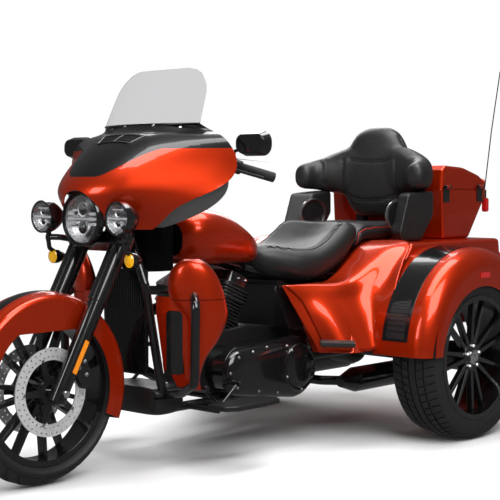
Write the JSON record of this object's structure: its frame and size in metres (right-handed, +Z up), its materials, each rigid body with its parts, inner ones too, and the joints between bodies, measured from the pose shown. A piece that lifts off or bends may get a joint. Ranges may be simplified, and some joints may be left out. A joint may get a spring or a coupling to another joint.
{
  "type": "touring trike",
  "caption": "Motorized touring trike with a steered front wheel, fork-mounted fairing, V-twin engine, rear axle with car tyres, trunk with a drop-down door and luggage box with a hinged lid.",
  "frame": {"origin": "on the ground under the middle of the overall length and width", "axes": "+X forward, +Y to the rider's left, +Z up"},
  "size_m": [2.6715, 1.39, 1.5123],
  "materials": {
    "red_paint": "metallic gloss",
    "black_gloss": "gloss black",
    "black_satin": "satin black",
    "engine_black": "black crinkle with bright fin edges",
    "polished": "polished",
    "steel": "brushed",
    "leather": "black grained",
    "rubber_black": "matt",
    "tyre_black": "matt",
    "clear_screen": "clear",
    "lamp_glass": "clear lens",
    "amber_lens": "amber lens",
    "red_lens": "red lens"
  },
  "bodies": {
    "chassis": {"frame": "engine_black", "neck_cover": "black_satin", "side_covers": "black_gloss", "lid_hinges": "black_gloss", "door_hinges": "black_gloss", "engine_case": "engine_black", "cylinders": "engine_black", "rocker_covers": "polished", "engine_covers": "black_gloss", "air_cleaner": "black_gloss", "exhaust": "black_gloss", "radiator": "black_satin", "chin_cover": "black_satin", "engine_guard": "black_gloss", "lower_fairings": "red_paint", "lower_vents": "black_satin", "fuel_tank": "red_paint", "tank_console": "black_gloss", "rear_body": "red_paint", "rear_fenders": "red_paint", "fender_trim": "black_gloss", "rear_lamps": "red_lens", "seat": "leather", "backrest": "leather", "luggage_box": "red_paint", "antenna": "black_satin", "speaker_pods": "black_satin", "rear_axle": "engine_black", "swingarm": "engine_black", "footboards": "black_satin", "foot_controls": "black_satin", "passenger_footboards": "black_satin"},
    "steering": {"fork_legs": "black_gloss", "fork_yokes": "black_gloss", "front_fender": "red_paint", "handlebar": "black_gloss", "grips": "rubber_black", "hand_controls": "black_satin", "mirrors": "black_gloss", "fairing": "red_paint", "fairing_inner": "black_satin", "windshield": "clear_screen", "headlamp": "lamp_glass", "aux_lamps": "lamp_glass", "turn_signals": "amber_lens", "lamp_bar": "black_gloss", "brake_calipers": "black_satin", "front_axle": "polished"},
    "front_wheel": {"front_wheel": "black_gloss", "front_tyre": "tyre_black", "front_discs": "steel"},
    "rear_wheel_left": {"rear_wheel_left": "black_gloss", "rear_tyre_left": "tyre_black"},
    "rear_wheel_right": {"rear_wheel_right": "black_gloss", "rear_tyre_right": "tyre_black"},
    "luggage_lid": {"luggage_lid": "red_paint"},
    "trunk_door": {"trunk_door": "red_paint"}
  },
  "joints": [
    {"name": "steering_turn", "type": "hinge", "parent": "chassis", "child": "steering", "pos_m": [0.66104, 0, 0.9], "axis": [-0.4384, 0, 0.8988], "range_deg": [-35, 35]},
    {"name": "front_wheel_spin", "type": "hinge", "parent": "steering", "child": "front_wheel", "pos_m": [1, 0, 0.319], "axis": [0, 1, 0], "continuous": true},
    {"name": "rear_wheel_left_spin", "type": "hinge", "parent": "chassis", "child": "rear_wheel_left", "pos_m": [-0.67, 0.572, 0.325], "axis": [0, 1, 0], "continuous": true},
    {"name": "rear_wheel_right_spin", "type": "hinge", "parent": "chassis", "child": "rear_wheel_right", "pos_m": [-0.67, -0.572, 0.325], "axis": [0, 1, 0], "continuous": true},
    {"name": "luggage_lid_hinge", "type": "hinge", "parent": "chassis", "child": "luggage_lid", "pos_m": [-1.109, 0.3085, 0.999], "axis": [-1, 0, 0], "range_deg": [0, 75]},
    {"name": "trunk_door_hinge", "type": "hinge", "parent": "chassis", "child": "trunk_door", "pos_m": [-1.27022, 0, 0.4312], "axis": [0, -1, 0], "range_deg": [0, 90]}
  ]
}
